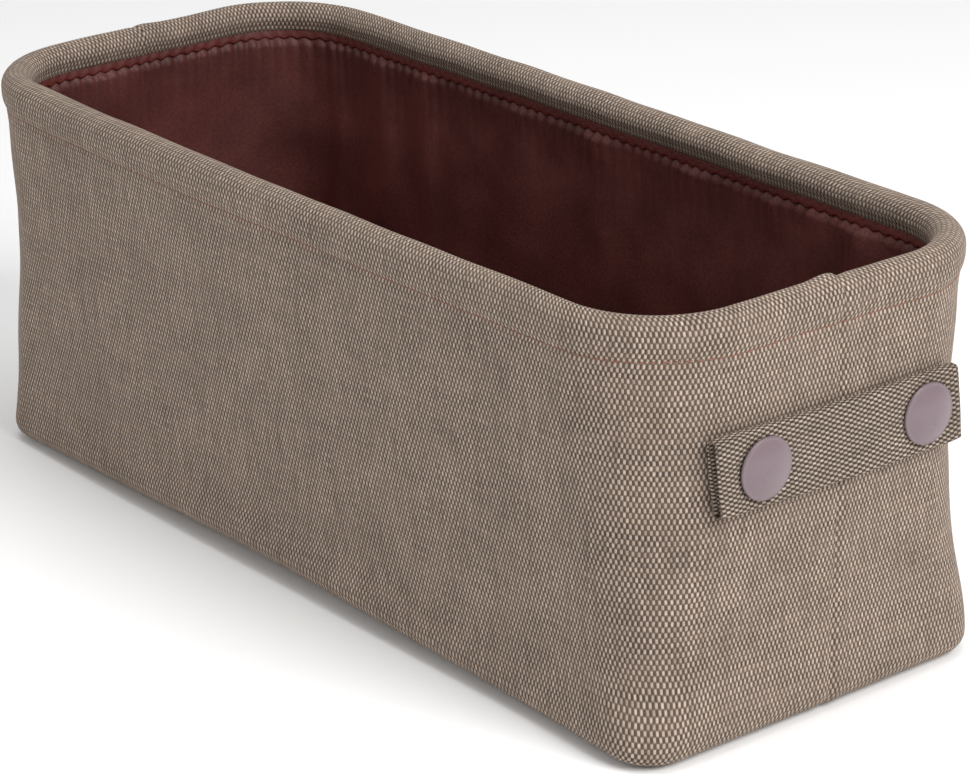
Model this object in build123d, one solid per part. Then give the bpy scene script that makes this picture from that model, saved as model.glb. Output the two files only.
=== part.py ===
"""Fabric storage bin: a long, narrow canvas bin with a lining, a rolled rim and a strap handle on each end.

Millimetres, +Z up. X runs along the bin, Y across it, and the origin is the middle of the base.
"right" is the +X end, "left" the -X end, "front" the -Y side and "back" the +Y side.
"""
import os

from build123d import *

# Outline of the bin, measured on the outside of the canvas
RIM_LENGTH = 350.0
RIM_WIDTH = 143.0
HEIGHT = 134.0
RIM_CORNER_RADIUS = 38.0
BASE_CORNER_RADIUS = 14.0
BOTTOM_EDGE_RADIUS = 8.0
RIM_ROLL_RADIUS = 5.2

# The soft wall at a few heights: how far its corners sit inside the rim's outline,
# and how far its end panels and side panels bow out between the corners
WALL_STATIONS = [
    # height, corner inset, end bow, side bow
    (0.0, 3.5, 1.0, 0.5),
    (12.0, 3.5, 1.8, 0.9),
    (32.0, 5.0, 3.6, 2.0),
    (56.0, 5.5, 4.8, 2.8),
    (86.0, 4.2, 4.5, 2.6),
    (104.0, 2.2, 2.2, 1.7),
    (118.0, 0.8, 1.0, 0.8),
    (HEIGHT - RIM_ROLL_RADIUS, 0.0, 0.0, 0.0),
]

# Thickness of each layer of the wall and base, and the air left between two layers
CANVAS = 1.2
FOAM = 5.9
LINING = 0.6
LAYER_GAP = 0.1
BASE_PAD = 3.0
BASE_BOARD = 2.0

# Rim: the canvas turns over a wire hoop and ends inside as a short facing; the topstitch goes through the hem
FACING_DROP = 8.0
HEM_HEIGHT = 3.8
HEM_THICKNESS = 0.8
WIRE_RADIUS = 1.2
FERRULE_WALL = 0.6
FERRULE_LENGTH = 18.0
THREAD_RADIUS = 0.35

# Strap handle on each end, held by two capped rivets
STRAP_LENGTH = 96.0
STRAP_HEIGHT = 25.0
STRAP_THICKNESS = 2.6
STRAP_LEVEL = 86.0
STRAP_SHIFT = 2.5
STRAP_STANDOFF = 0.5
GRIP_LENGTH = 40.0
GRIP_GAP = 0.4
RIVET_SPACING = 62.6
CAP_RADIUS = 9.8
CAP_EDGE = 0.9
CAP_RISE = 3.0
POST_RADIUS = 1.7
POST_CLEARANCE = 0.05
POST_IN_CAP = 1.2
WASHER_RADIUS = 6.0
WASHER_THICKNESS = 1.2
WASHER_DEPTH = 3.7

# Values that follow from the ones above
RIM_LEVEL = HEIGHT - RIM_ROLL_RADIUS
FACING_LEVEL = HEIGHT - FACING_DROP
FOAM_IN = CANVAS + LAYER_GAP
FOAM_INNER_FACE = FOAM_IN + FOAM
LINING_IN = FOAM_INNER_FACE + LAYER_GAP
LINING_INNER_FACE = LINING_IN + LINING
HEM_IN = LINING_INNER_FACE + LAYER_GAP
HEM_INNER_FACE = HEM_IN + HEM_THICKNESS
FOAM_TOP = RIM_LEVEL - WIRE_RADIUS - FERRULE_WALL - 3 * LAYER_GAP
PAD_FLOOR = CANVAS + LAYER_GAP
BOARD_FLOOR = PAD_FLOOR + BASE_PAD + LAYER_GAP
LINING_FLOOR = BOARD_FLOOR + BASE_BOARD + LAYER_GAP
WIDE = 2 * RIM_LENGTH


def wall_shape(height):
    """Corner inset, end bow and side bow of the wall at one height."""
    for low, high in zip(WALL_STATIONS, WALL_STATIONS[1:]):
        if height <= high[0]:
            share = (height - low[0]) / (high[0] - low[0])
            return [a + share * (b - a) for a, b in zip(low[1:], high[1:])]
    return list(WALL_STATIONS[-1][1:])


def wall_section(height, depth):
    """Closed outline of the wall at one height, at a depth inside the canvas's outer face."""
    inset, end_bow, side_bow = wall_shape(height)
    x = RIM_LENGTH / 2 - inset - depth
    y = RIM_WIDTH / 2 - inset - depth
    radius = BASE_CORNER_RADIUS + (RIM_CORNER_RADIUS - BASE_CORNER_RADIUS) * height / RIM_LEVEL - depth
    corners = [(-x, -y), (x, -y), (x, y), (-x, y), (-x, -y)]
    middles = [(0, -y - side_bow), (x + end_bow, 0), (0, y + side_bow), (-x - end_bow, 0)]
    if side_bow > 0:
        sides = [ThreePointArc(*points) for points in zip(corners, middles, corners[1:])]
    else:
        sides = [Line(*points) for points in zip(corners, corners[1:])]
    face = make_face(sides)
    return Pos(0, 0, height) * fillet(face.vertices(), radius)


def end_face_x(height, depth=0.0):
    """Distance from the middle of the bin to the end wall, at the wall's own middle."""
    inset, end_bow, _ = wall_shape(height)
    return RIM_LENGTH / 2 - inset + end_bow - depth


def slab(low, high):
    """Everything between two heights."""
    return Pos(0, 0, (low + high) / 2) * Box(WIDE, WIDE, high - low)


def wall_body(depth, floor, top):
    """Solid filling of the bin at a depth inside the wall, with the bottom edge rounded."""
    body = loft([wall_section(station[0], depth) for station in WALL_STATIONS])
    if floor > 0:
        body = body & slab(floor, HEIGHT)
    radius = BOTTOM_EDGE_RADIUS - depth
    if radius > 1:
        body = fillet(body.edges().group_by(Axis.Z)[0], radius)
    if top < RIM_LEVEL:
        body = body & slab(-1, top)
    return body


def rim_path(depth):
    """Line that the rim follows, at a depth inside the canvas's outer face."""
    return wall_section(RIM_LEVEL, depth).wire()


def along_rim(profile, path):
    """Sweep a flat profile round the rim; the profile's own x axis points up."""
    start = Plane(origin=path @ 0, x_dir=(0, 0, 1), z_dir=path % 0)
    return sweep(start * profile, path=path)


def rivet_centres():
    """Places of the two rivets across the right end."""
    return [STRAP_SHIFT + side * RIVET_SPACING / 2 for side in (-1, 1)]


def along_x(radius, start, end, y, z):
    """Round bar parallel to X between two x values."""
    bar = Cylinder(radius, end - start, align=(Align.CENTER, Align.CENTER, Align.MIN))
    return Pos(start, y, z) * Rot(0, 90, 0) * bar


def on_both_ends(shape):
    """The shape at the right end and its half-turned twin at the left end."""
    return {"right": shape, "left": Rot(0, 0, 180) * shape}


def strap_face():
    """x of the strap's inner face at the right end."""
    return end_face_x(STRAP_LEVEL) + STRAP_STANDOFF


def rivet_holes(radius, depth):
    """Bars to cut for the four rivets, reaching a depth behind the strap."""
    bars = []
    for y in rivet_centres():
        bar = along_x(radius, strap_face() - depth, strap_face() + WIDE, y, STRAP_LEVEL)
        bars += list(on_both_ends(bar).values())
    return bars


def outer_canvas():
    """One cloth: base, walls, roll over the rim, and the facing inside."""
    shell = wall_body(0, 0, RIM_LEVEL) - wall_body(CANVAS, CANVAS, RIM_LEVEL)
    ring = Circle(RIM_ROLL_RADIUS) - Circle(RIM_ROLL_RADIUS - CANVAS)
    upper_half = ring & Pos(RIM_ROLL_RADIUS, 0) * Rectangle(2 * RIM_ROLL_RADIUS, 4 * RIM_ROLL_RADIUS)
    roll = along_rim(upper_half, rim_path(RIM_ROLL_RADIUS))
    facing_outside = 2 * RIM_ROLL_RADIUS - CANVAS
    facing = loft([
        wall_section(FACING_LEVEL, LINING_IN),
        wall_section(RIM_LEVEL, facing_outside),
    ], ruled=True)
    facing -= loft([
        wall_section(FACING_LEVEL, LINING_IN + CANVAS),
        wall_section(RIM_LEVEL, facing_outside + CANVAS),
    ], ruled=True)
    canvas = shell + roll + facing
    for hole in rivet_holes(POST_RADIUS + POST_CLEARANCE, WASHER_DEPTH + WASHER_THICKNESS):
        canvas -= hole
    return canvas


def wall_foam():
    """Front and back halves of the wall's foam, which meet at the end seams."""
    ring = wall_body(FOAM_IN, PAD_FLOOR, FOAM_TOP) - wall_body(FOAM_INNER_FACE, 0, FOAM_TOP)
    ring = ring & slab(BOARD_FLOOR, FOAM_TOP)
    for pocket in rivet_holes(WASHER_RADIUS + 0.5, WASHER_DEPTH + WASHER_THICKNESS + LAYER_GAP):
        ring -= pocket
    seam_gap = 1.2
    halves = {}
    for name, side in (("front", -1), ("back", 1)):
        keep = Pos(0, side * (RIM_WIDTH + seam_gap) / 2, HEIGHT / 2) * Box(WIDE, RIM_WIDTH, 2 * HEIGHT)
        halves[name] = ring & keep
    return halves


def base_seam_x():
    """Distance from the middle of the bin to the boxed seams of the base."""
    return RIM_LENGTH / 2 - 3 * BOTTOM_EDGE_RADIUS / 2


def base_seam_thread(extra=0.0):
    """Straight seam across the base near the right end."""
    length = RIM_WIDTH - 5 * BOTTOM_EDGE_RADIUS
    size = 2 * (THREAD_RADIUS + extra)
    middle = PAD_FLOOR + THREAD_RADIUS
    return Pos(base_seam_x(), 0, middle) * Box(size, length + 2 * extra, size)


def base_pad():
    """Foam pad on the base, with a groove over each boxed seam."""
    pad = wall_body(FOAM_IN, PAD_FLOOR, PAD_FLOOR + BASE_PAD)
    for groove in on_both_ends(base_seam_thread(LAYER_GAP)).values():
        pad -= groove
    return pad


def base_board():
    """Stiff board inside the foam walls."""
    return wall_body(FOAM_INNER_FACE + LAYER_GAP, BOARD_FLOOR, BOARD_FLOOR + BASE_BOARD)


def lining():
    """Lining bag, up to the lower edge of the canvas facing."""
    top = FACING_LEVEL - LAYER_GAP
    return wall_body(LINING_IN, LINING_FLOOR, top) - wall_body(LINING_INNER_FACE, LINING_FLOOR + LINING, top)


def lining_hem():
    """Folded strip that covers the lining's top edge."""
    top = FACING_LEVEL - LAYER_GAP
    low = top - HEM_HEIGHT
    return wall_body(HEM_IN, low, top) - wall_body(HEM_INNER_FACE, low, top)


def thread_loop(height, depth):
    """Line of stitching round the bin at one height."""
    path = wall_section(height, depth).wire()
    return along_rim(Circle(THREAD_RADIUS), path)


def rim_wire():
    """Wire hoop inside the rolled rim."""
    return along_rim(Circle(WIRE_RADIUS), rim_path(RIM_ROLL_RADIUS))


def rim_wire_ferrule():
    """Crimped sleeve that joins the hoop's two ends at the middle of the back."""
    inset, _, side_bow = wall_shape(RIM_LEVEL)
    y = RIM_WIDTH / 2 - inset + side_bow - RIM_ROLL_RADIUS
    outer = along_x(WIRE_RADIUS + FERRULE_WALL, -FERRULE_LENGTH / 2, FERRULE_LENGTH / 2, y, RIM_LEVEL)
    inner = along_x(WIRE_RADIUS + POST_CLEARANCE, -FERRULE_LENGTH, FERRULE_LENGTH, y, RIM_LEVEL)
    return outer - inner


def end_seam_thread():
    """Upright seam behind the canvas at the middle of the right end."""
    levels = [station[0] for station in WALL_STATIONS[1:-1]]
    depth = FOAM_IN + 3 * LAYER_GAP
    outer = [(end_face_x(z, depth), 0, z) for z in levels]
    inner = [(end_face_x(z, depth + 2 * THREAD_RADIUS), 0, z) for z in levels]
    outline = Polyline(*outer, *reversed(inner), close=True)
    return extrude(make_face(outline), THREAD_RADIUS, dir=(0, 1, 0), both=True)


def strap_piece(start, end):
    """Length of the right end's strap between two y values."""
    size = Box(STRAP_THICKNESS, end - start, STRAP_HEIGHT)
    return Pos(strap_face() + STRAP_THICKNESS / 2, (start + end) / 2, STRAP_LEVEL) * size


def strap_pieces():
    """Riveted tabs and free grip of the right end's strap."""
    front_end = STRAP_SHIFT - STRAP_LENGTH / 2
    back_end = STRAP_SHIFT + STRAP_LENGTH / 2
    grip_start = STRAP_SHIFT - GRIP_LENGTH / 2
    grip_end = STRAP_SHIFT + GRIP_LENGTH / 2
    front_tab = strap_piece(front_end, grip_start - GRIP_GAP)
    back_tab = strap_piece(grip_end + GRIP_GAP, back_end)
    front_hole, back_hole = [
        along_x(POST_RADIUS + POST_CLEARANCE, strap_face() - 1, strap_face() + WIDE, y, STRAP_LEVEL)
        for y in rivet_centres()
    ]
    return {
        "tab_front": front_tab - front_hole,
        "tab_back": back_tab - back_hole,
        "grip": strap_piece(grip_start, grip_end),
    }


def rivet_cap(y):
    """Domed cap on the strap, with a blind hole for the post."""
    seat = strap_face() + STRAP_THICKNESS
    dome_rise = CAP_RISE - CAP_EDGE
    ball_radius = (CAP_RADIUS**2 + dome_rise**2) / (2 * dome_rise)
    disc = Cylinder(CAP_RADIUS, CAP_RISE, align=(Align.CENTER, Align.CENTER, Align.MIN))
    dome = disc & Pos(0, 0, CAP_RISE - ball_radius) * Sphere(ball_radius)
    dome = fillet(dome.edges().filter_by(GeomType.CIRCLE), CAP_EDGE / 3)
    hole_depth = POST_IN_CAP + POST_CLEARANCE
    hole = along_x(POST_RADIUS + POST_CLEARANCE, seat - 1, seat + hole_depth, y, STRAP_LEVEL)
    return Pos(seat, y, STRAP_LEVEL) * Rot(0, 90, 0) * dome - hole


def rivet_post(y):
    """Post from inside the cap, through the strap and canvas, to the washer."""
    back = strap_face() - WASHER_DEPTH
    front = strap_face() + STRAP_THICKNESS + POST_IN_CAP
    return along_x(POST_RADIUS, back, front, y, STRAP_LEVEL)


def rivet_washer(y):
    """Flat washer behind the canvas, in a pocket of the foam."""
    back = strap_face() - WASHER_DEPTH - WASHER_THICKNESS
    return along_x(WASHER_RADIUS, back, back + WASHER_THICKNESS, y, STRAP_LEVEL)


def all_nodes():
    """Every piece of the bin by its name."""
    nodes = {
        "outer_canvas": outer_canvas(),
        "foam_base_pad": base_pad(),
        "base_board": base_board(),
        "lining": lining(),
        "lining_hem": lining_hem(),
        "rim_wire": rim_wire(),
        "rim_wire_ferrule": rim_wire_ferrule(),
        "rim_topstitch": thread_loop(FACING_LEVEL - HEM_HEIGHT / 2, -THREAD_RADIUS - 5 * LAYER_GAP),
        "lining_stitch": thread_loop(FACING_LEVEL - HEM_HEIGHT / 2, HEM_INNER_FACE + THREAD_RADIUS + LAYER_GAP),
    }
    for side, half in wall_foam().items():
        nodes[f"foam_wall_{side}"] = half
    for end, seam in on_both_ends(end_seam_thread()).items():
        nodes[f"end_seam_thread_{end}"] = seam
    for end, seam in on_both_ends(base_seam_thread()).items():
        nodes[f"base_seam_thread_{end}"] = seam
    for piece, shape in strap_pieces().items():
        for end, placed in on_both_ends(shape).items():
            nodes[f"handle_{end}_{piece}"] = placed
    for number, y in enumerate(rivet_centres(), start=1):
        rivet = {"cap": rivet_cap(y), "post": rivet_post(y), "washer": rivet_washer(y)}
        for piece, shape in rivet.items():
            for end, placed in on_both_ends(shape).items():
                nodes[f"rivet_{piece}_{end}_{number}"] = placed
    return nodes


os.makedirs("parts", exist_ok=True)
for name, shape in all_nodes().items():
    export_step(shape, f"parts/{name}.step")
    print(name, round(shape.volume, 1))
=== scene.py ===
import math

import bmesh
import bpy
from mathutils import Matrix, Quaternion, Vector, noise


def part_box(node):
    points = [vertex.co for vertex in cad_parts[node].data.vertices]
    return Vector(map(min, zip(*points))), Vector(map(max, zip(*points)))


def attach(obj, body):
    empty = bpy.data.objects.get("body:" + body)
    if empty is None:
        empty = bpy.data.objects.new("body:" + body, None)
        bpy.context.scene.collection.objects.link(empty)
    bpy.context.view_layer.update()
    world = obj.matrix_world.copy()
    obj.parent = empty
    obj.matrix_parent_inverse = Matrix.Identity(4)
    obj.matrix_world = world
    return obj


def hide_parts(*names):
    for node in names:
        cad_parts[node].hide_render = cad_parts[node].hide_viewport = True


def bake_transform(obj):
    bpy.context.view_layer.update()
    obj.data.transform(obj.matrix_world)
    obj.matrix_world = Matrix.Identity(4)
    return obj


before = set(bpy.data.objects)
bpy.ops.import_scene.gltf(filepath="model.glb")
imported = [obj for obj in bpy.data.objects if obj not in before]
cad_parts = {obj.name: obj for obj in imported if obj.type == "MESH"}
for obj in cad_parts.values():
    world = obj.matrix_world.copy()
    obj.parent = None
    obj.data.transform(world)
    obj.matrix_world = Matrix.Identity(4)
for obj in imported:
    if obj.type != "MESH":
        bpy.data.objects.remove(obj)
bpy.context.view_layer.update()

# ------------------------------------------------------------------ outer canvas
# One cloth of coarse plain-woven canvas, light warp over dark brown weft. It wraps the front,
# base and back, is seamed up the middle of each end, and turns over the rim wire, down inside
# the bin as a facing. The walls under it are foam, so they pinch in above the base.

MM = 0.001
CANVAS_THICK = 1.2 * MM
ROLL_RADIUS = 5.2 * MM
CORNER_BOTTOM_RADIUS = 5.5 * MM
SIDE_BOTTOM_RADIUS = 10.0 * MM
FRONT_LIFT = 1.0 * MM
FRONT_ARCH = 2.1 * MM
BASE_LIFT = 1.2 * MM
BASE_CORNER = 13.0 * MM
RIM_CORNER = 38.0 * MM
FACING_DEPTH = 8.5 * MM
SEAM_SHIFT = 2.5 * MM
RIM_SAG = 1.0 * MM
RIM_RISE = 0.5 * MM

# corners where the padding sits a little fuller or thinner: side in x, side in y, height, millimetres out
SLACK_CORNERS = [(-1, -1, 40.0, 1.5), (-1, -1, 8.0, -0.8), (1, -1, 6.0, 1.6), (1, 1, 45.0, -0.5)]

# height, how far the corners sit inside the rim, and how far the ends and the sides bow out
WALL_STATIONS = [
    (0.0, 3.8, 1.7, -1.2),
    (12.0, 3.9, 2.0, -0.8),
    (32.0, 5.2, 3.6, 1.4),
    (56.0, 5.3, 4.6, 2.6),
    (86.0, 4.4, 4.6, 2.6),
    (104.0, 2.7, 2.7, 2.0),
    (118.0, 1.6, 1.3, 1.4),
    (128.8, -0.4, 0.3, 0.0),
]

wire_low, wire_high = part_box("rim_wire")
wire_radius = (wire_high[2] - wire_low[2]) / 2
rim_level = (wire_high[2] + wire_low[2]) / 2
rim_x = wire_high[0] - wire_radius + ROLL_RADIUS
rim_y = wire_high[1] - wire_radius + ROLL_RADIUS
facing_level = 124.6 * MM
stitch_mean = 121.7 * MM


def wall_shape(height):
    """Corner inset, end bow and side bow at a height, on a smooth curve through the stations."""
    level = min(max(height / MM, 0.0), WALL_STATIONS[-1][0])
    last = len(WALL_STATIONS) - 1
    i = next(n for n in range(last) if level <= WALL_STATIONS[n + 1][0])
    p0, p1, p2, p3 = (WALL_STATIONS[min(max(n, 0), last)] for n in range(i - 1, i + 3))
    t = (level - p1[0]) / (p2[0] - p1[0])
    shape = []
    for a, b, c, d in zip(p0[1:], p1[1:], p2[1:], p3[1:]):
        pull_in, pull_out = (c - a) / 2, (d - b) / 2
        cubic = (2 * b - 2 * c + pull_in + pull_out) * t**3
        square = (3 * c - 3 * b - 2 * pull_in - pull_out) * t**2
        shape.append((cubic + square + pull_in * t + b) * MM)
    return shape


def outline(share, height, depth):
    """Point and outward direction at a share of the way round, counting from the right end's seam."""
    inset, end_bow, side_bow = wall_shape(height)
    x, y = rim_x - inset - depth, rim_y - inset - depth
    level = min(max(height / rim_level, 0.0), 1.0)
    radius = max(BASE_CORNER + (RIM_CORNER - BASE_CORNER) * level - depth, 1 * MM)
    end, corner, side = y - radius, math.pi * radius / 2, 2 * (x - radius)
    round_trip = 4 * end + 4 * corner + 2 * side
    at = (share * round_trip + SEAM_SHIFT) % round_trip
    half_turn = at >= round_trip / 2
    at -= round_trip / 2 * half_turn
    if at < end:
        point, out = Vector((x, at)), Vector((1, 0))
    elif at < end + corner:
        turn = (at - end) / radius
        out = Vector((math.cos(turn), math.sin(turn)))
        point = Vector((x - radius, y - radius)) + radius * out
    elif at < end + corner + side:
        point, out = Vector((x - radius - (at - end - corner), y)), Vector((0, 1))
    elif at < end + 2 * corner + side:
        turn = (at - end - corner - side) / radius
        out = Vector((-math.sin(turn), math.cos(turn)))
        point = Vector((-x + radius, y - radius)) + radius * out
    else:
        point, out = Vector((-x, y - radius - (at - end - 2 * corner - side))), Vector((-1, 0))
    point.x += math.copysign(end_bow * max(0, 1 - (point.y / y) ** 2), point.x) * abs(out.x)
    point.y += math.copysign(side_bow * max(0, 1 - (point.x / x) ** 2), point.y) * abs(out.y)
    return (-point, -out, round_trip) if half_turn else (point, out, round_trip)


def smooth(low, high, value):
    """0 up to low, 1 from high on, and a soft step between them."""
    t = min(max((value - low) / (high - low), 0.0), 1.0)
    return t * t * (3 - 2 * t)


def bump(value, width):
    return math.exp(-((value / width) ** 2))


ROUND_TRIP = outline(0, rim_level / 2, 0)[2]


def from_seam(share):
    """Signed distance round the bin from the nearer end seam."""
    return ((share * 2 + 0.5) % 1 - 0.5) * ROUND_TRIP / 2


def stitch_level(share):
    """The topstitch runs a little unevenly below the rim."""
    turn = share * 2 * math.pi
    wander = noise.noise(Vector((6 * math.cos(turn), 6 * math.sin(turn), 3.0)))
    return stitch_mean + 0.6 * MM * wander


def base_lift(point, height, depth, middle):
    """How far the bottom edge stands up off the floor; it fades up the wall and in over the base."""
    front = smooth(0.6, 0.9, -point.y / rim_y) * max(0.0, 1 - (point.x / (rim_x + 10 * MM)) ** 4)
    arch = FRONT_LIFT + FRONT_ARCH * bump(point.x + 12 * MM, 70 * MM)
    lift = arch * front + BASE_LIFT * (1 - front)
    lift *= (1 - smooth(0, 34 * MM, height)) * (1 - smooth(9 * MM, 36 * MM, depth))
    return lift * (0.25 + 0.75 * max(middle, front))


# how proud each thing stands, or how deep it draws the cloth in
SWELL, RIPPLE = 0.9 * MM, 0.22 * MM
SEAM_DIP, SEAM_RIDGE, SEAM_LOW_RIDGE = 0.3 * MM, 0.45 * MM, 0.15 * MM
STITCH_DIP, ROLL_FOOT = 0.4 * MM, 0.25 * MM
DIP_WIDTH = 1.1 * MM
CORNER_REACH, CORNER_HEIGHT = 45 * MM, 17 * MM


def proud_of_wall(share, point, height):
    """Unevenness of a sewn and padded wall: padding, seam, slack corners and topstitch."""
    slow = noise.noise(Vector((point.x * 14, point.y * 14, height * 18)))
    quick = noise.noise(Vector((point.x * 55, point.y * 55, height * 50 + 9)))
    proud = (SWELL * slow + RIPPLE * quick) * smooth(0, 14 * MM, height)
    seam = from_seam(share)
    proud -= SEAM_DIP * bump(seam, DIP_WIDTH)
    proud += SEAM_RIDGE * bump(seam - 3.4 * MM, 2.6 * MM) + SEAM_LOW_RIDGE * bump(seam + 3.0 * MM, 2.0 * MM)
    for side_x, side_y, level, amount in SLACK_CORNERS:
        if side_x * point.x > 0 and side_y * point.y > 0:
            near_corner = bump(abs(point.x) - rim_x, CORNER_REACH) * bump(abs(point.y) - rim_y, CORNER_REACH)
            proud += amount * MM * near_corner * bump(height - level * MM, CORNER_HEIGHT)
    above_stitch = height - stitch_level(share)
    proud -= STITCH_DIP * bump(above_stitch, DIP_WIDTH)
    return proud + ROLL_FOOT * bump(above_stitch - 3.5 * MM, 2.2 * MM)


def on_wall(share, height, depth=0.0, relief=1.0):
    """Point on the canvas, or at a depth inside it."""
    point, out, _ = outline(share, height, depth)
    proud = proud_of_wall(share, point, height)
    middle = max(0.0, 1 - (point.x / (rim_x - RIM_CORNER)) ** 2)
    sag = (RIM_SAG if point.y < 0 else -RIM_RISE) * middle * smooth(0.5, 1.0, height / rim_level)
    lift = base_lift(point, height, depth, middle)
    point += out * proud * relief
    return Vector((point.x, point.y, height - sag + lift))


RIGHT_HUMP, LEFT_HUMP, NEXT_DIP = 1.1 * MM, 0.4 * MM, 0.2 * MM
RIM_WAVE = 0.5 * MM


def rim_lift(share):
    """At each seam one half's rim ends in a rounded hump and the other starts lower."""
    seam = from_seam(share)
    height = RIGHT_HUMP if abs(share - 0.5) > 0.25 else LEFT_HUMP
    hump = height * bump(seam + 2.0 * MM, 5.0 * MM) if seam < 0.1 * MM else -NEXT_DIP * bump(seam, 4 * MM)
    wave = noise.noise(Vector((math.cos(share * 6.283) * 5, math.sin(share * 6.283) * 5, 7)))
    return hump + RIM_WAVE * wave


def column_shares(close, wide):
    """Shares of the way round, close together beside both seams and wide apart elsewhere."""
    half = ROUND_TRIP / 2
    near = [n * close for n in range(9)]
    count = round((half - 2 * near[-1]) / wide)
    middle = [near[-1] + (half - 2 * near[-1]) * n / count for n in range(1, count)]
    distances = near + middle + [half - d for d in reversed(near[1:])]
    shares = [d / ROUND_TRIP for d in distances]
    return shares + [0.5 + s for s in shares]


def ring_shell(name, shares, rows, place, fill_first=True, close_rows=False, fill_last=False):
    """Cloth grown from one ring of vertices, extruded row by row; rows are (distance along, facts)."""
    bm = bmesh.new()
    column = bm.verts.layers.int.new("column")
    along = bm.verts.layers.float.new("along")
    ring = bmesh.ops.create_circle(bm, segments=len(shares), radius=1.0)["verts"]
    for n, vert in enumerate(sorted(ring, key=lambda v: math.atan2(v.co.y, v.co.x) % (2 * math.pi))):
        vert[column] = n
        vert[along] = rows[0][0]
        vert.co = place(shares[n], rows[0][1])
    edges = list(bm.edges)
    first = list(edges)
    for distance, facts in rows[1:]:
        grown = bmesh.ops.extrude_edge_only(bm, edges=edges)["geom"]
        edges = [g for g in grown if isinstance(g, bmesh.types.BMEdge)]
        edges = [e for e in edges if len(e.link_faces) == 1]
        for vert in {v for e in edges for v in e.verts}:
            vert[along] = distance
            vert.co = place(shares[vert[column]], facts)
    if fill_first:
        bmesh.ops.contextual_create(bm, geom=first)
    if fill_last:
        bmesh.ops.contextual_create(bm, geom=edges)
    if close_rows:
        bmesh.ops.bridge_loops(bm, edges=first + edges)
    bmesh.ops.recalc_face_normals(bm, faces=bm.faces)
    lay_cloth(bm, shares, column, along)
    mesh = bpy.data.meshes.new(name)
    bm.to_mesh(mesh)
    bm.free()
    mesh.shade_smooth()
    piece = bpy.data.objects.new(name, mesh)
    bpy.context.scene.collection.objects.link(piece)
    return piece


def lay_cloth(bm, shares, column, along):
    """Cloth coordinates in metres: round the bin, and up the wall; the flat base is laid straight."""
    cloth = bm.loops.layers.uv.new("cloth")
    count = len(shares)
    for face in bm.faces:
        on_base = min(vert[along] for vert in face.verts) < -0.1 * MM
        if len(face.verts) > 4 or on_base:
            for loop in face.loops:
                loop[cloth].uv = (loop.vert.co.x, loop.vert.co.y)
            continue
        columns = [loop.vert[column] for loop in face.loops]
        wraps = max(columns) - min(columns) > count / 2
        for loop, n in zip(face.loops, columns):
            share = shares[n] + (1.0 if wraps and n < count / 2 else 0.0)
            loop[cloth].uv = (share * ROUND_TRIP, loop.vert[along])


def steps(start, stop, count):
    return [start + (stop - start) * n / count for n in range(count + 1)]


def bottom_radius(share):
    """The bottom edge is tight at the corners and rounder along the middle of each panel."""
    point, out, _ = outline(share, 0, 0)
    along_side = max(0.0, 1 - (point.x / rim_x) ** 4) * abs(out.y)
    along_end = 0.5 * max(0.0, 1 - (point.y / rim_y) ** 4) * abs(out.x)
    return CORNER_BOTTOM_RADIUS + (SIDE_BOTTOM_RADIUS - CORNER_BOTTOM_RADIUS) * (along_side + along_end)


def canvas_rows():
    """(distance along the cloth, facts) from the flat base, up, over the rim and down inside."""
    groove = 2.8 * MM
    rows = [(-inset, ("base", inset)) for inset in (50 * MM, 40 * MM, 30 * MM, 22 * MM, 15 * MM)]
    rows += [(SIDE_BOTTOM_RADIUS * angle / 1.571, ("bottom", angle)) for angle in steps(0, math.pi / 2, 7)]
    levels = steps(SIDE_BOTTOM_RADIUS, stitch_mean - groove, 36)[1:]
    levels += steps(stitch_mean - groove, stitch_mean + groove, 8)[1:]
    levels += steps(stitch_mean + groove, rim_level, 3)[1:]
    rows += [(level, ("wall", level)) for level in levels]
    half_roll = math.pi * ROLL_RADIUS
    rows += [(rim_level + half_roll * a / math.pi, ("roll", a)) for a in steps(0, math.pi, 14)[1:]]
    facing = rim_level - facing_level
    rows += [(rim_level + half_roll + facing * drop, ("facing", drop)) for drop in steps(0, 1, 5)[1:]]
    return rows


def canvas_point(share, facts):
    """Place on the canvas's outer face for one row and one share of the way round."""
    part, amount = facts
    radius = bottom_radius(share)
    if part == "base":
        return on_wall(share, 0, max(amount, radius), relief=0)
    if part == "bottom":
        return on_wall(share, radius * (1 - math.cos(amount)), radius * (1 - math.sin(amount)))
    if part == "wall":
        spare = smooth(SIDE_BOTTOM_RADIUS * 3, SIDE_BOTTOM_RADIUS, amount) * (SIDE_BOTTOM_RADIUS - radius)
        point = on_wall(share, amount - spare)
        point.z += rim_lift(share) * smooth(stitch_mean, rim_level, amount)
        return point
    if part == "roll":
        point = on_wall(share, rim_level, ROLL_RADIUS * (1 - math.cos(amount)))
        point.z += ROLL_RADIUS * math.sin(amount) + rim_lift(share)
        return point
    level = rim_level + amount * (facing_level - rim_level)
    depth = 2 * ROLL_RADIUS + amount * (FACING_DEPTH - 2 * ROLL_RADIUS)
    point = on_wall(share, level, depth, relief=0.35)
    point.z += rim_lift(share) * smooth(stitch_mean - 4 * MM, rim_level, level)
    return point


canvas = ring_shell("outer_canvas_cloth", column_shares(0.5 * MM, 2.7 * MM), canvas_rows(), canvas_point)
thickness = canvas.modifiers.new("cloth_thickness", "SOLIDIFY")
thickness.thickness = CANVAS_THICK
thickness.offset = -1


def linear(hex_colour):
    """sRGB hex colour as the linear colour that a shader takes."""
    parts = [int(hex_colour[n:n + 2], 16) / 255 for n in (0, 2, 4)]
    return [p / 12.92 if p <= 0.04045 else ((p + 0.055) / 1.055) ** 2.4 for p in parts] + [1.0]


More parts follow.
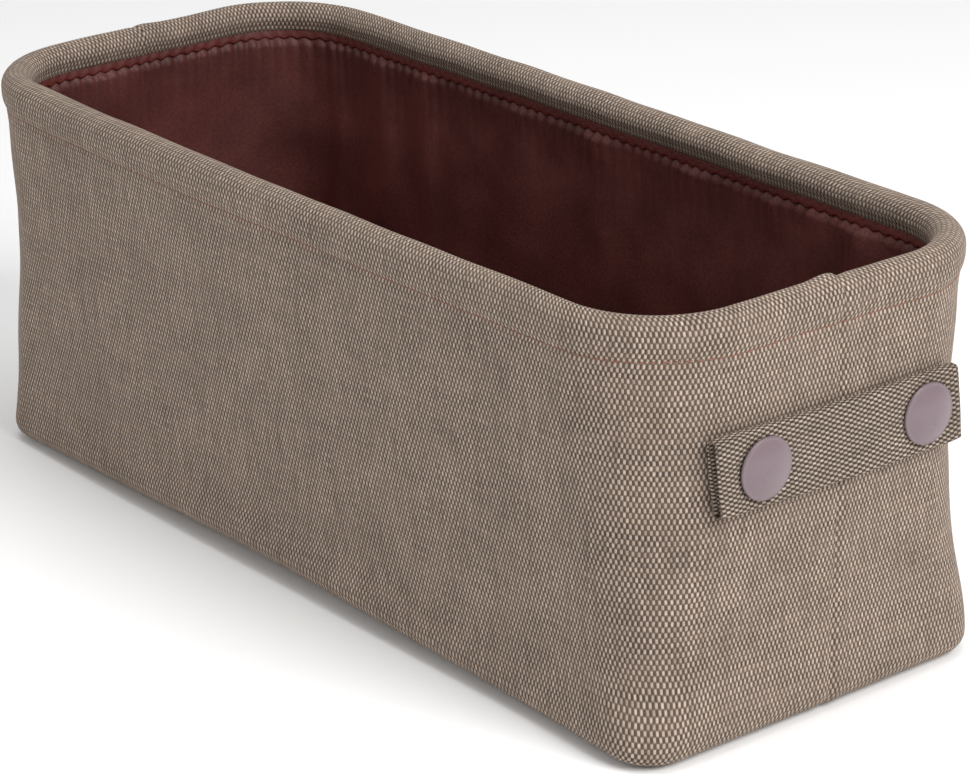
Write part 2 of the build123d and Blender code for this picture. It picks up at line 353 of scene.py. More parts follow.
def add(tree, kind, inputs=None, **settings):
    """A new shader node with its settings; an input takes a value or another node's output."""
    new = tree.nodes.new("ShaderNode" + kind)
    for name, value in settings.items():
        setattr(new, name, value)
    for socket, value in (inputs or {}).items():
        if isinstance(value, bpy.types.NodeSocket):
            tree.links.new(value, new.inputs[socket])
        else:
            new.inputs[socket].default_value = value
    return new


def new_material(name):
    """An empty material: its node tree and its surface shader."""
    material = bpy.data.materials.new(name)
    material.use_nodes = True
    tree = material.node_tree
    return material, tree, tree.nodes["Principled BSDF"]


def ranged(tree, value, low, high, start, end):
    """A value with its range, low to high, spread over start to end."""
    return add(tree, "MapRange", {0: value, 1: low, 2: high, 3: start, 4: end}).outputs[0]


def scaled(tree, colour, amount):
    return add(tree, "VectorMath", {0: colour, "Scale": amount}, operation="SCALE").outputs[0]


def worked_out(tree, operation, *values):
    """The result of one sum."""
    return add(tree, "Math", dict(enumerate(values)), operation=operation).outputs[0]


def cloud(tree, place, scale, detail):
    return add(tree, "TexNoise", {"Vector": place, "Scale": scale, "Detail": detail}).outputs[0]


def raise_surface(tree, surface, height, strength, distance):
    relief = add(tree, "Bump", {"Strength": strength, "Distance": distance, "Height": height})
    tree.links.new(relief.outputs[0], surface.inputs["Normal"])


def yarn_shade(tree, x, y, run_along, spread):
    """Each yarn has its own shade, and slubs run along it."""
    place = add(tree, "CombineXYZ", {"X": x, "Y": y}).outputs[0]
    run = add(tree, "VectorMath", {0: place, 1: run_along}, operation="MULTIPLY").outputs[0]
    return ranged(tree, cloud(tree, run, 1.0, 2.0), 0.25, 0.75, 1 - spread / 2, 1 + spread / 2)


YARN_WANDER = 1.4 * MM
PATCHES_PER_METRE = 38.0
FIBRES_PER_METRE = 3300.0


def woven_canvas(name, warp, weft, warp_pitch, weft_pitch, turned=False, contrast=1.0):
    """Coarse plain weave: long light warp floats in a half-drop pattern over a dark weft."""
    material, tree, surface = new_material(name)
    cloth = add(tree, "UVMap", uv_map="cloth").outputs["UV"]
    drift = add(tree, "TexNoise", {"Vector": cloth, "Scale": 70.0, "Detail": 2.0}).outputs["Color"]
    offset = add(tree, "VectorMath", {0: drift, 1: (0.5, 0.5, 0.5)}, operation="SUBTRACT").outputs[0]
    uneven = scaled(tree, offset, YARN_WANDER)
    laid = add(tree, "VectorMath", {0: cloth, 1: uneven}, operation="ADD").outputs[0]
    axes = add(tree, "SeparateXYZ", {0: laid})
    across, along = axes.outputs["X"], axes.outputs["Y"]
    if turned:
        across, along = along, across
    columns = worked_out(tree, "DIVIDE", across, warp_pitch)
    rows = worked_out(tree, "DIVIDE", along, weft_pitch)
    waves = [worked_out(tree, "SINE", worked_out(tree, "MULTIPLY", n, math.pi)) for n in (columns, rows)]
    over = worked_out(tree, "MULTIPLY", *waves)

    # a thin dark line of weft shows between rows of floats
    row_crown = worked_out(tree, "ABSOLUTE", waves[1])
    row_light = ranged(tree, row_crown, 0.0, 0.7, 0.55, 1.0)
    float_share = worked_out(tree, "MULTIPLY", ranged(tree, over, -0.25, 0.45, 0.0, 1.0), row_light)

    column, row = worked_out(tree, "FLOOR", columns), worked_out(tree, "FLOOR", rows)
    warp_shade = yarn_shade(tree, column, rows, (7.31, 0.11, 1.0), 0.7)
    weft_shade = yarn_shade(tree, columns, row, (0.05, 5.17, 1.0), 0.8)
    warp_colour = scaled(tree, linear(warp)[:3], warp_shade)
    weft_colour = scaled(tree, linear(weft)[:3], weft_shade)
    woven = add(tree, "Mix", {0: float_share, 6: weft_colour, 7: warp_colour}, data_type="RGBA")

    # broad patches of lighter and darker yarn, and the fuzz of single fibres
    patch_inputs = {"Vector": cloth, "Scale": PATCHES_PER_METRE, "Detail": 4.0, "Roughness": 0.65}
    patch = add(tree, "TexNoise", patch_inputs).outputs[0]
    fuzz = cloud(tree, cloth, FIBRES_PER_METRE, 2.0)
    patches, fuzzy = ranged(tree, patch, 0.3, 0.7, 0.88, 1.12), ranged(tree, fuzz, 0.3, 0.7, 0.8, 1.2)
    colour = scaled(tree, woven.outputs[2], worked_out(tree, "MULTIPLY", patches, fuzzy))
    tree.links.new(colour, surface.inputs["Base Color"])

    # rounded yarns, floats above the rest, and a fibrous face
    round_yarn = worked_out(tree, "POWER", worked_out(tree, "ABSOLUTE", over), 0.6)
    raised = worked_out(tree, "MULTIPLY_ADD", float_share, 0.6, round_yarn)
    height = worked_out(tree, "MULTIPLY_ADD", fuzz, 0.35, raised)
    raise_surface(tree, surface, height, 0.58 * contrast, 0.28 * MM)
    surface.inputs["Roughness"].default_value = 0.92
    surface.inputs["Specular IOR Level"].default_value = 0.2
    surface.inputs["Sheen Weight"].default_value = 0.25
    surface.inputs["Sheen Roughness"].default_value = 0.5
    surface.inputs["Sheen Tint"].default_value = linear("C8B8A4")
    return material


# an even number of warps goes into each half of the bin, so that the halves meet in step
WARP_PAIRS = round(ROUND_TRIP / 2 / 2 / (0.765 * MM))
WARP_PITCH = ROUND_TRIP / 2 / (2 * WARP_PAIRS)
WEFT_PITCH = 1.6 * MM

# coarse plain-woven cotton canvas: beige warp floats, dark brown weft in the hollows, no shine
canvas_cloth = woven_canvas("plain_woven_canvas", "AE9E90", "56473E", WARP_PITCH, WEFT_PITCH)
canvas.data.materials.append(canvas_cloth)
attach(canvas, "bin")
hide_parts("outer_canvas")

# ------------------------------------------------------------------ foam and base
# Padding of soft polyurethane foam: a band round the walls, slit at the end seams, and a thin pad
# on the base. A fibreboard sheet lies on the pad. None of them shows; they fill out the canvas.

FOAM_DEPTH = 1.3 * MM
FOAM_THICK = 5.9 * MM
PAD_THICK = 3.0 * MM
pad_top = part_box("foam_base_pad")[1][2]
foam_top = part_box("foam_wall_front")[1][2]
foam_shares = column_shares(0.5 * MM, 6.0 * MM)


def foam_point(share, facts):
    height, depth = facts
    return on_wall(share, height, depth)


outer_side = [(z, (z, FOAM_DEPTH)) for z in steps(pad_top + 4 * MM, foam_top, 24)]
inner_side = [(z, (z, FOAM_DEPTH + FOAM_THICK)) for z in reversed(steps(pad_top + 4 * MM, foam_top, 24))]
wall_foam = ring_shell("wall_foam", foam_shares, outer_side + inner_side, foam_point, False, True)
inset_rows = (60 * MM, 40 * MM, 25 * MM, 12 * MM, 9 * MM)
pad_under = [(-inset, (FOAM_DEPTH, inset)) for inset in inset_rows]
pad_over = [(inset, (FOAM_DEPTH + PAD_THICK, inset)) for inset in reversed(inset_rows)]
base_foam = ring_shell("base_foam", foam_shares, pad_under + pad_over, foam_point, True, False, True)


FOAM_CELL = 0.9 * MM


def open_cell_foam(name, shade):
    """Open-cell foam: matt, with a fine pattern of broken bubbles."""
    material, tree, surface = new_material(name)
    place = add(tree, "TexCoord").outputs["Object"]
    cells = add(tree, "TexVoronoi", {"Vector": place, "Scale": 1 / FOAM_CELL}).outputs["Distance"]
    colour = scaled(tree, linear(shade)[:3], ranged(tree, cells, 0.0, 0.6, 0.75, 1.05))
    tree.links.new(colour, surface.inputs["Base Color"])
    raise_surface(tree, surface, cells, 0.5, 0.2 * MM)
    surface.inputs["Roughness"].default_value = 0.95
    return material


# polyurethane foam: pale cream, dull and porous
foam_pieces = ((wall_foam, ("foam_wall_front", "foam_wall_back")), (base_foam, ("foam_base_pad",)))
for piece, stands_for in foam_pieces:
    piece.data.materials.append(open_cell_foam("polyurethane_foam", "E6DFCB"))
    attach(piece, "bin")
    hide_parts(*stands_for)


def give(material, *nodes):
    """Put a material on CAD nodes that stay as they are."""
    for node in nodes:
        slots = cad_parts[node].data.materials
        slots.clear()
        slots.append(material)


def mottled(name, shade, grain, roughness, metallic=0.0, stretch=(1, 1, 1), spread=0.25, bump_height=0.05):
    """Even finish with slight cloudiness at the size of its grain."""
    material, tree, surface = new_material(name)
    place = add(tree, "TexCoord").outputs["Object"]
    drawn = add(tree, "Mapping", {"Vector": place, "Scale": stretch}).outputs[0]
    grains = cloud(tree, drawn, 1 / grain, 3.0)
    tone = ranged(tree, grains, 0.25, 0.75, 1 - spread / 2, 1 + spread / 2)
    tree.links.new(scaled(tree, linear(shade)[:3], tone), surface.inputs["Base Color"])
    dull = ranged(tree, grains, 0.25, 0.75, roughness - 0.06, roughness + 0.06)
    tree.links.new(dull, surface.inputs["Roughness"])
    raise_surface(tree, surface, grains, 0.6, bump_height * MM)
    surface.inputs["Metallic"].default_value = metallic
    return material


# grey-brown pressed fibreboard: flecked and matt
give(mottled("pressed_fibreboard", "8A7A66", 1.5 * MM, 0.85, spread=0.5, bump_height=0.1), "base_board")
# spring-steel wire: drawn, so its fine lines run along it
give(mottled("drawn_steel_wire", "9A9B9C", 0.4 * MM, 0.32, metallic=1.0, spread=0.15), "rim_wire")
# crimped steel sleeve: a little duller than the wire, with press marks
give(mottled("crimped_steel_sleeve", "8B8C8E", 1.2 * MM, 0.42, metallic=1.0, spread=0.3), "rim_wire_ferrule")
# turned steel rivet shanks and washers: bright, with faint lathe rings
RIVETS = [f"{end}_{n}" for end in ("right", "left") for n in (1, 2)]
SHANKS = [f"rivet_{part}_{rivet}" for part in ("post", "washer") for rivet in RIVETS]
give(mottled("turned_rivet_steel", "A9AAAC", 0.5 * MM, 0.3, metallic=1.0, stretch=(6, 1, 1)), *SHANKS)
# bonded polyester seam thread: dark brown, its plies twisted every 0.8 mm
SEAMS = [f"{seam}_seam_thread_{end}" for seam in ("end", "base") for end in ("right", "left")]
give(mottled("bonded_seam_thread", "4B3A31", 0.8 * MM, 0.6, spread=0.5, bump_height=0.15), *SEAMS)

# ------------------------------------------------------------------ lining
# A loose bag of thin maroon polyester, coated on its back. It hangs from the hem, so it gathers into
# small puckers under the hem's stitching, and stands in a few soft upright folds against the foam.

LINING_DEPTH = 7.3 * MM
LINING_THICK = 0.3 * MM
LINING_FLOOR = 6.5 * MM
LINING_CORNER = 4.0 * MM
PUCKER_PITCH = 5.0 * MM
hem_edge = facing_level - 3.0 * MM
lining_top = hem_edge + 1.9 * MM
SCALLOP = 0.9 * MM

# upright folds: middle and half-width round the bin from the right seam in mm, and how proud they stand
FOLDS = [
    (52, 7, 1.5), (74, 5, 1.1), (96, 9, 1.9), (118, 6, 1.2), (139, 8, 1.0), (176, 12, 1.3), (222, 9, 0.9),
    (268, 12, 1.2), (318, 7, 1.3), (345, 9, 1.6), (372, 6, 1.1), (398, 11, 1.4), (470, 8, 1.5), (505, 9, 1.0),
    (560, 14, 1.2), (640, 12, 1.1), (700, 8, 1.2), (742, 7, 1.5), (768, 9, 1.2), (12, 9, 1.1), (-16, 7, 1.0),
]


PUCKERS = round(ROUND_TRIP / PUCKER_PITCH)
PUCKER_FADE = 7 * MM
FOLD_LEAN = 5 * MM


def pucker(share):
    """1 on the crest of a gather and 0 between two, a little unevenly spaced."""
    turn = share * 2 * math.pi
    uneven = noise.noise(Vector((9 * math.cos(turn), 9 * math.sin(turn), 5)))
    return (0.5 + 0.5 * math.cos(PUCKERS * turn + 2.5 * uneven)) ** 0.8


def drawn_edge(share):
    """The hem's lower edge is pushed up where a gather stands out under it."""
    return hem_edge + SCALLOP * pucker(share)


def lining_relief(share, height):
    """How far the loose cloth stands in from the foam, counted in millimetres until the last line."""
    along = share * ROUND_TRIP
    turn = share * 2 * math.pi
    around = Vector((3.2 * math.cos(turn), 3.2 * math.sin(turn), height * 22))
    below_hem = max(0.0, hem_edge - height)
    lean = FOLD_LEAN * noise.noise(around + Vector((0, 0, 40)))
    proud = 0.35 + 0.6 * noise.noise(around) + 0.4 * noise.noise(around * 3.1)
    for middle, half_width, height_out in FOLDS:
        off = (along - middle * MM + lean + ROUND_TRIP / 2) % ROUND_TRIP - ROUND_TRIP / 2
        spread = half_width * MM * (0.7 + 0.5 * below_hem / lining_top)
        fade = 0.35 + 0.65 * bump(below_hem - 12 * MM, 55 * MM)
        proud += height_out * bump(off, spread) * fade * smooth(0, 14 * MM, height - LINING_FLOOR)
    full = 1.8 + 1.1 * noise.noise(Vector((along * 60, height * 40, 5)))
    proud += full * pucker(share) * math.exp(-below_hem / PUCKER_FADE)
    proud += 0.16 * noise.noise(Vector((along * 210, height * 70, 11)))
    proud += 0.1 * noise.noise(Vector((along * 90, height * 240, 17)))
    return max(0.0, proud) * MM * smooth(-0.3 * MM, 1.5 * MM, drawn_edge(share) - height)


def lining_point(share, facts):
    part, amount = facts
    if part == "floor":
        point = on_wall(share, LINING_FLOOR, LINING_DEPTH + amount, relief=0)
        wrinkle = noise.noise(Vector((point.x * 30, point.y * 30, 2))) + 0.5 * noise.noise(point * 90)
        point.z = LINING_FLOOR + 0.5 * MM * max(0.0, wrinkle)
        return point
    if part == "edge":
        height = LINING_FLOOR + LINING_CORNER * (1 - math.cos(amount))
        depth = LINING_DEPTH + LINING_CORNER * (1 - math.sin(amount))
        point = on_wall(share, height, depth + lining_relief(share, height) * math.sin(amount), relief=0.4)
        return Vector((point.x, point.y, height))
    point = on_wall(share, amount, LINING_DEPTH + lining_relief(share, amount), relief=0.4)
    return Vector((point.x, point.y, amount))


def even_shares(count):
    return [n / count for n in range(count)]


floor_rows = [(-inset, ("floor", inset)) for inset in (58 * MM, 46 * MM, 34 * MM, 22 * MM, 13 * MM, 8 * MM)]
edge_rows = [(LINING_CORNER * a, ("edge", a)) for a in steps(0, math.pi / 2, 4)]
low, knee = LINING_FLOOR + LINING_CORNER, lining_top - 26 * MM
wall_rows = [(z, ("wall", z)) for z in steps(low, knee, 20)[1:] + steps(knee, lining_top, 18)[1:]]
lining = ring_shell("lining_bag", even_shares(960), floor_rows + edge_rows + wall_rows, lining_point)
lining_wall = lining.modifiers.new("cloth_thickness", "SOLIDIFY")
lining_wall.thickness = LINING_THICK
lining_wall.offset = -1


def thin_lining(name, shade, fold_shade):
    """Thin, closely woven polyester: fine ribs, slightly uneven dye, and a soft sheen on the folds."""
    material, tree, surface = new_material(name)
    cloth = add(tree, "UVMap", uv_map="cloth").outputs["UV"]
    axes = add(tree, "SeparateXYZ", {0: cloth})
    threads = []
    for axis, pitch in (("X", 0.42 * MM), ("Y", 0.5 * MM)):
        turns = worked_out(tree, "MULTIPLY", axes.outputs[axis], math.pi / pitch)
        threads.append(worked_out(tree, "SINE", turns))
    weave = worked_out(tree, "MULTIPLY", *threads)
    slub = cloud(tree, cloth, 900.0, 3.0)
    dye = cloud(tree, cloth, 45.0, 4.0)
    both = worked_out(tree, "MULTIPLY_ADD", weave, 0.28, slub)
    fine, broad = ranged(tree, both, 0.1, 0.9, 0.55, 1.45), ranged(tree, dye, 0.3, 0.7, 0.85, 1.15)
    dyed = add(tree, "Mix", {0: dye, 6: linear(shade), 7: linear(fold_shade)}, data_type="RGBA")
    colour = scaled(tree, dyed.outputs[2], worked_out(tree, "MULTIPLY", fine, broad))
    tree.links.new(colour, surface.inputs["Base Color"])
    raise_surface(tree, surface, both, 0.6, 0.12 * MM)
    surface.inputs["Roughness"].default_value = 0.5
    surface.inputs["Specular IOR Level"].default_value = 0.27
    surface.inputs["Sheen Weight"].default_value = 0.35
    surface.inputs["Sheen Roughness"].default_value = 0.35
    surface.inputs["Sheen Tint"].default_value = linear("C0483E")
    return material


# coated polyester taffeta: deep maroon, faintly glossy where a fold catches the light
lining.data.materials.append(thin_lining("maroon_polyester_lining", "43211F", "5C322E"))
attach(lining, "bin")
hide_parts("lining")

# ------------------------------------------------------------------ hem
# A folded strip of the same polyester covers the lining's raw top edge, sewn through to the canvas
# facing. Its lower edge is pushed up wherever a gather of the lining stands out under it.

HEM_THICK = 0.75 * MM
HEM_DEPTH = 7.7 * MM
HEM_TUCK = 0.4 * MM
STITCH_PITCH = 3.2 * MM
HEM_STITCHES = round(ROUND_TRIP * 0.955 / STITCH_PITCH)


def hem_point(share, facts):
    """Place on the folded strip, whose lower edge follows the gathers."""
    height, depth = facts
    up = (height - hem_edge) / (facing_level + HEM_TUCK - hem_edge)
    drawn = (drawn_edge(share) - hem_edge) * (1 - up)
    full = 0.35 * MM * pucker(share) * math.sin(math.pi * up)
    point = on_wall(share, height, depth + (full if depth > HEM_DEPTH else 0.0), relief=0.4)
    wave = 0.25 * MM * noise.noise(Vector((point.x * 60, point.y * 60, 1))) * (1 - up)
    return Vector((point.x, point.y, height + drawn + wave))


rise = steps(hem_edge, facing_level + HEM_TUCK, 5)
hem_rows = [(z, (z, HEM_DEPTH)) for z in rise]
hem_rows += [(2 * rise[-1] - z, (z, HEM_DEPTH + HEM_THICK)) for z in reversed(rise)]
hem = ring_shell("hem_strip", even_shares(900), hem_rows, hem_point, False, True)
# the same polyester folded double, coloured darker than the lining: painted shade for its recess under the
# facing
hem.data.materials.append(thin_lining("folded_hem_polyester_painted_shade", "4A1A16", "5A231D"))
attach(hem, "bin")
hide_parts("lining_hem")

# ------------------------------------------------------------------ stitching
# Lockstitch in twisted polyester thread: a rust-coloured line round the outside below the rim, and a
# dark red line along the hem inside. Each stitch is drawn down into the cloth at both ends.


STITCH_COVER = 0.78


def stitch_line(name, count, thread_radius, place, slant=0.0):
    """Separate stitches in one mesh; place(share) gives a point and the direction out of the cloth."""
    bm = bmesh.new()
    for n in range(count):
        share = (n + 0.5) / count
        jitter = noise.noise(Vector((n * 7.7, 3.1, 0.5)))
        here, out = place(share + 0.12 * jitter / count)
        ahead = place(share + 0.2 / count)[0] - place(share - 0.2 / count)[0]
        ahead = (ahead.normalized() + Vector((0, 0, slant + 0.12 * jitter))).normalized()
        side = out.cross(ahead).normalized()
        half = ROUND_TRIP / count * STITCH_COVER * (1 + 0.15 * jitter) / 2
        grid = Matrix((ahead * half, side * thread_radius, side.cross(ahead) * -thread_radius)).transposed()
        spot = Matrix.Translation(here) @ grid.to_4x4() @ Matrix.Rotation(math.pi / 2, 4, "Y")
        bmesh.ops.create_uvsphere(bm, u_segments=6, v_segments=5, radius=1.0, matrix=spot)
    bmesh.ops.recalc_face_normals(bm, faces=bm.faces)
    mesh = bpy.data.meshes.new(name)
    bm.to_mesh(mesh)
    bm.free()
    mesh.shade_smooth()
    piece = bpy.data.objects.new(name, mesh)
    bpy.context.scene.collection.objects.link(piece)
    return piece


def topstitch_place(share):
    share = share % 1.0
    out = outline(share, facing_level, 0)[1]
    return on_wall(share, stitch_level(share), 0.02 * MM), Vector((out.x, out.y, 0))


def hem_stitch_place(share):
    out = outline(share % 1.0, facing_level, 0)[1]
    middle = hem_edge + 1.8 * MM
    point = on_wall(share % 1.0, middle, HEM_DEPTH + HEM_THICK + 0.1 * MM, relief=0.4)
    return Vector((point.x, point.y, middle)), Vector((-out.x, -out.y, 0))


PLY_PITCH = 3.2 * MM


def twisted_thread(name, shade):
    """Twisted thread: plies that cross it on a slant."""
    material, tree, surface = new_material(name)
    place = add(tree, "TexCoord").outputs["Object"]
    wave = {"Vector": place, "Scale": 1 / PLY_PITCH, "Distortion": 1.5}
    plies = add(tree, "TexWave", wave, bands_direction="DIAGONAL").outputs["Fac"]
    colour = scaled(tree, linear(shade)[:3], ranged(tree, plies, 0.0, 1.0, 0.7, 1.2))
    tree.links.new(colour, surface.inputs["Base Color"])
    raise_surface(tree, surface, plies, 0.5, 0.05 * MM)
    surface.inputs["Roughness"].default_value = 0.6
    surface.inputs["Sheen Weight"].default_value = 0.15
    return material


TOPSTITCHES = round(ROUND_TRIP / STITCH_PITCH)
topstitch = stitch_line("topstitch", TOPSTITCHES, 0.3 * MM, topstitch_place, slant=0.05)
# polyester thread: rust orange, slightly lustrous
topstitch.data.materials.append(twisted_thread("rust_polyester_thread", "84503C"))
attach(topstitch, "bin")
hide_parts("rim_topstitch")
hem_stitch = stitch_line("hem_stitch", HEM_STITCHES, 0.18 * MM, hem_stitch_place)
# polyester thread: dark red, to match the hem
hem_stitch.data.materials.append(twisted_thread("dark_red_polyester_thread", "5A2420"))
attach(hem_stitch, "bin")
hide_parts("lining_stitch")

# ------------------------------------------------------------------ strap handles
# On each end a strap of the same canvas, cut across the bin's and folded double, 25 mm high. Two
# capped rivets hold it, and its free middle is the grip. Its ends are open folds off the wall.

STRAP_RAISED = 1.3 * MM
tab_low, tab_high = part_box("handle_right_tab_front")[0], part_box("handle_right_tab_back")[1]
STRAP_THICK = tab_high[0] - tab_low[0]
strap_level = (tab_low[2] + tab_high[2]) / 2 + STRAP_RAISED
strap_middle = (tab_low[1] + tab_high[1]) / 2
strap_half = (tab_high[1] - tab_low[1]) / 2
strap_height = tab_high[2] - tab_low[2] - 0.8 * MM
cap_low, cap_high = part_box("rivet_cap_right_1")
cap_radius = (cap_high[2] - cap_low[2]) / 2 - 0.4 * MM
rivet_reach = strap_middle - (cap_low[1] + cap_high[1]) / 2
STRAP_EDGE = 0.9 * MM
FOLD_MOUTH = 7.0 * MM
FOLD_SPREAD = 1.7 * MM
END_SLANT = 0.11
FAR_END_SHORTER = 3.6 * MM
SKEW = 0.17
RIVET_DIMPLE = 0.45 * MM
STRAP_LUMPS = 0.16 * MM
STRAP_EDGE_WAVE = 0.35 * MM


def strap_bow(along):
    """The strap follows the wall's slight curve away from its middle."""
    if abs(along) < rivet_reach:
        return -0.5 * MM * (along / rivet_reach) ** 2
    return -0.5 * MM - 0.05 * (abs(along) - rivet_reach)


def strap_section(share):
    """Point on the strap's section, a flat band with rounded edges: how far out, and how far up."""
    straight = strap_height - 2 * STRAP_EDGE
    flat = STRAP_THICK - 2 * STRAP_EDGE
    curve = math.pi * STRAP_EDGE / 2
    at = (share * (2 * straight + 2 * flat + 4 * curve)) % (2 * straight + 2 * flat + 4 * curve)
    half_turn = at >= straight + flat + 2 * curve
    at -= (straight + flat + 2 * curve) * half_turn
    if at < straight:
        out, up = STRAP_THICK / 2, at - straight / 2
    elif at < straight + curve:
        turn = (at - straight) / STRAP_EDGE
        out, up = flat / 2 + STRAP_EDGE * math.cos(turn), straight / 2 + STRAP_EDGE * math.sin(turn)
    elif at < straight + curve + flat:
        out, up = flat / 2 - (at - straight - curve), strap_height / 2
    else:
        turn = (at - straight - curve - flat) / STRAP_EDGE
        out, up = -flat / 2 - STRAP_EDGE * math.sin(turn), straight / 2 + STRAP_EDGE * math.cos(turn)
    return (-out, -up) if half_turn else (out, up)


def strap_half_piece(name, direction, turned_end):
    """Half of a strap, from its middle out to one open end; direction is -1 or 1 along y."""
    count = 96
    half = strap_half - (FAR_END_SHORTER if direction > 0 else 0.0)
    reach = steps(0, half, 44)

    def strap_point(share, facts):
        along, shrink = facts
        out, up = strap_section(share)
        from_rivet = math.hypot(along - rivet_reach, up)
        dimple = RIVET_DIMPLE * bump(max(0.0, from_rivet - cap_radius * 0.8), 2.6 * MM)
        lump = STRAP_LUMPS * noise.noise(Vector((direction * along * 130, up * 130, 2 + out * 900)))
        squeeze = (STRAP_THICK / 2 - dimple + lump) / (STRAP_THICK / 2)
        loose = smooth(rivet_reach + 2 * MM, half, along)
        edge_wave = STRAP_EDGE_WAVE * noise.noise(Vector((direction * along * 45, math.copysign(3, up), 1)))
        up *= 1 + edge_wave / (strap_height / 2) - 0.03 * bump(along - half, 3 * MM)
        spread = 1 + FOLD_SPREAD / STRAP_THICK * loose
        x = tab_low[0] + STRAP_THICK / 2 + strap_bow(along) + out * squeeze * shrink * spread
        y = strap_middle + direction * along - END_SLANT * up * loose
        return Vector((x, y, strap_level + up * (0.96 + 0.04 * shrink)))

    rows = [(along, (along, 1.0)) for along in reach]
    mouth = [(half + 0.3 * MM, 0.85), (half + 0.1 * MM, 0.62)]
    mouth += [(half - FOLD_MOUTH / 2, 0.55), (half - FOLD_MOUTH, 0.4)]
    rows += [(along, (along, shrink)) for along, shrink in mouth]
    shares = even_shares(count)
    piece = ring_shell(name, shares, rows, strap_point, True, False, True)
    mesh = piece.data
    for edge in mesh.edges:
        first, second = (mesh.vertices[v].co.y for v in edge.vertices)
        if max(abs(first - strap_middle), abs(second - strap_middle)) < 1e-6:
            edge.use_edge_sharp = True
    cloth = mesh.uv_layers["cloth"].data
    for loop in mesh.loops:
        place = mesh.vertices[loop.vertex_index].co
        round_edge = (tab_high[0] - place.x) * (place.z - strap_level) / (strap_height / 2)
        cloth[loop.index].uv = (place.y + SKEW * place.z, place.z + round_edge)
    if turned_end:
        mesh.transform(Matrix.Rotation(math.pi, 4, "Z"))
    return piece


strap_cloth = woven_canvas("plain_woven_strap_canvas", "A6988A", "3C302A", 0.8 * MM, 1.5 * MM, True, 1.1)
for end, turned_end in (("right", False), ("left", True)):
    for half, direction, nodes in (("front", -1, ("tab_front", "grip")), ("back", 1, ("tab_back",))):
        strap = strap_half_piece(f"strap_{end}_{half}", direction, turned_end)
        strap.data.materials.append(strap_cloth)
        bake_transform(strap)
        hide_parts(*(f"handle_{end}_{node}" for node in nodes))

# ------------------------------------------------------------------ rivet caps
# Domed caps, pressed from thin steel with a rolled edge and painted satin taupe. Each snaps over a
# post that goes through the strap and the canvas, and pulls both in around it.

CAP_SINK = 0.5 * MM
DOME_RISE = 3.0 * MM
EDGE_ROLL = 0.6 * MM


def domed_cap(name, y, turned_end):
    """Cap turned from its profile: dome, rolled edge and flat back."""
    bm = bmesh.new()
    profile = [(0.0, DOME_RISE)]
    for turn in steps(0, 1, 10)[1:]:
        profile.append((cap_radius * 0.955 * turn, DOME_RISE - 1.9 * MM * turn**2))
    for angle in steps(math.radians(60), math.radians(-50), 6):
        rim = cap_radius - EDGE_ROLL + EDGE_ROLL * math.cos(angle)
        profile.append((rim, 0.62 * MM + EDGE_ROLL * math.sin(angle)))
    profile.append((cap_radius * 0.9, 0.0))
    profile.append((0.0, 0.0))
    verts = [bm.verts.new((h, r, 0)) for r, h in profile]
    line = [bm.edges.new(pair) for pair in zip(verts, verts[1:])]
    turned = {"cent": (0, 0, 0), "axis": (1, 0, 0), "angle": 2 * math.pi, "steps": 72}
    bmesh.ops.spin(bm, geom=verts + line, use_merge=True, **turned)
    bmesh.ops.remove_doubles(bm, verts=bm.verts, dist=1e-6)
    bmesh.ops.recalc_face_normals(bm, faces=bm.faces)
    bmesh.ops.translate(bm, verts=bm.verts, vec=(cap_low[0] - CAP_SINK, y, strap_level))
    if turned_end:
        bmesh.ops.rotate(bm, verts=bm.verts, cent=(0, 0, 0), matrix=Matrix.Rotation(math.pi, 3, "Z"))
    mesh = bpy.data.meshes.new(name)
    bm.to_mesh(mesh)
    bm.free()
    mesh.shade_smooth()
    piece = bpy.data.objects.new(name, mesh)
    bpy.context.scene.collection.objects.link(piece)
    return piece


def satin_paint(name, shade):
    """Sprayed satin paint: even colour, very fine orange peel, faint handling marks in the gloss."""
    material, tree, surface = new_material(name)
    place = add(tree, "TexCoord").outputs["Object"]
    peel = cloud(tree, place, 1 / (0.5 * MM), 2.0)
    marks = cloud(tree, place, 1 / (6 * MM), 5.0)
    colour = scaled(tree, linear(shade)[:3], ranged(tree, marks, 0.3, 0.7, 0.98, 1.02))
    tree.links.new(colour, surface.inputs["Base Color"])
    tree.links.new(ranged(tree, marks, 0.3, 0.7, 0.27, 0.3), surface.inputs["Roughness"])
    raise_surface(tree, surface, peel, 0.15, 0.03 * MM)
    surface.inputs["Specular IOR Level"].default_value = 0.5
    return material


# painted steel: warm grey with a lilac cast, satin, so the light spreads softly over the dome
cap_paint = satin_paint("satin_taupe_paint", "746469")
for end, turned_end in (("right", False), ("left", True)):
    for number, side in ((1, -1), (2, 1)):
        cap = domed_cap(f"cap_{end}_{number}", strap_middle + side * rivet_reach, turned_end)
        cap.data.materials.append(cap_paint)
        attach(cap, "bin")
        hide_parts(f"rivet_cap_{end}_{number}")

# ------------------------------------------------------------------ stage
# A plain pale floor, soft light from the right and from above, and a long lens at the end's corner.

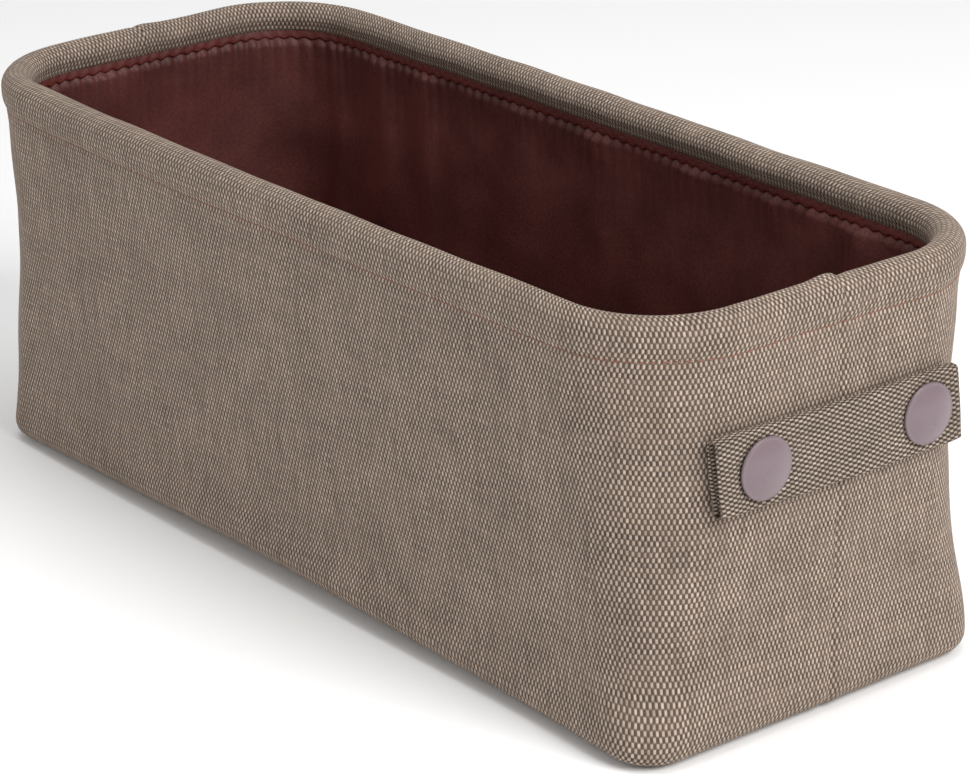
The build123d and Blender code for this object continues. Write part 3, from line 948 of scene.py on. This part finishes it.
FLOOR_SIZE = 6.0
bm = bmesh.new()
bmesh.ops.create_grid(bm, x_segments=1, y_segments=1, size=FLOOR_SIZE / 2)
floor_mesh = bpy.data.meshes.new("floor")
bm.to_mesh(floor_mesh)
bm.free()
floor = bpy.data.objects.new("floor", floor_mesh)
bpy.context.scene.collection.objects.link(floor)
paint, paint_tree, paint_surface = new_material("pale_matt_floor")
paint_surface.inputs["Base Color"].default_value = linear("FFFFFF")
paint_surface.inputs["Roughness"].default_value = 0.9
floor.data.materials.append(paint)

world = bpy.data.worlds.new("studio")
world.use_nodes = True
world.node_tree.nodes["Background"].inputs["Color"].default_value = linear("FFFFFF")
world.node_tree.nodes["Background"].inputs["Strength"].default_value = 0.45
bpy.context.scene.world = world
bpy.context.scene.view_settings.view_transform = "Standard"

AIM = Vector((0.0107, 0.0046, 0.0528))


def soft_light(name, azimuth, elevation, distance, size, power):
    """Square light at a compass angle and height, turned towards the bin."""
    a, e = math.radians(azimuth), math.radians(elevation)
    back = Vector((math.sin(a) * math.cos(e), -math.cos(a) * math.cos(e), math.sin(e)))
    light = bpy.data.lights.new(name, "AREA")
    light.size = size
    light.energy = power
    lamp = bpy.data.objects.new(name, light)
    lamp.location = AIM + back * distance
    lamp.rotation_euler = back.to_track_quat("Z", "Y").to_euler()
    bpy.context.scene.collection.objects.link(lamp)


soft_light("key", 95, 38, 1.6, 0.8, 19)
soft_light("left_fill", 5, 30, 1.6, 0.7, 2.6)
soft_light("top", 60, 85, 1.5, 1.2, 9)

LENS = 136.8
CAMERA_AZIMUTH = math.radians(51.85)
CAMERA_ELEVATION = math.radians(21.455)
CAMERA_ROLL = math.radians(-0.9)
CAMERA_DISTANCE = 1.1723
back = Vector((
    math.sin(CAMERA_AZIMUTH) * math.cos(CAMERA_ELEVATION),
    -math.cos(CAMERA_AZIMUTH) * math.cos(CAMERA_ELEVATION),
    math.sin(CAMERA_ELEVATION),
))
camera_data = bpy.data.cameras.new("camera")
camera_data.lens = LENS
camera_data.sensor_width = 36.0
camera = bpy.data.objects.new("camera", camera_data)
camera.location = AIM + back * CAMERA_DISTANCE
camera.rotation_euler = (back.to_track_quat("Z", "Y") @ Quaternion((0, 0, 1), CAMERA_ROLL)).to_euler()
bpy.context.scene.collection.objects.link(camera)
bpy.context.scene.camera = camera
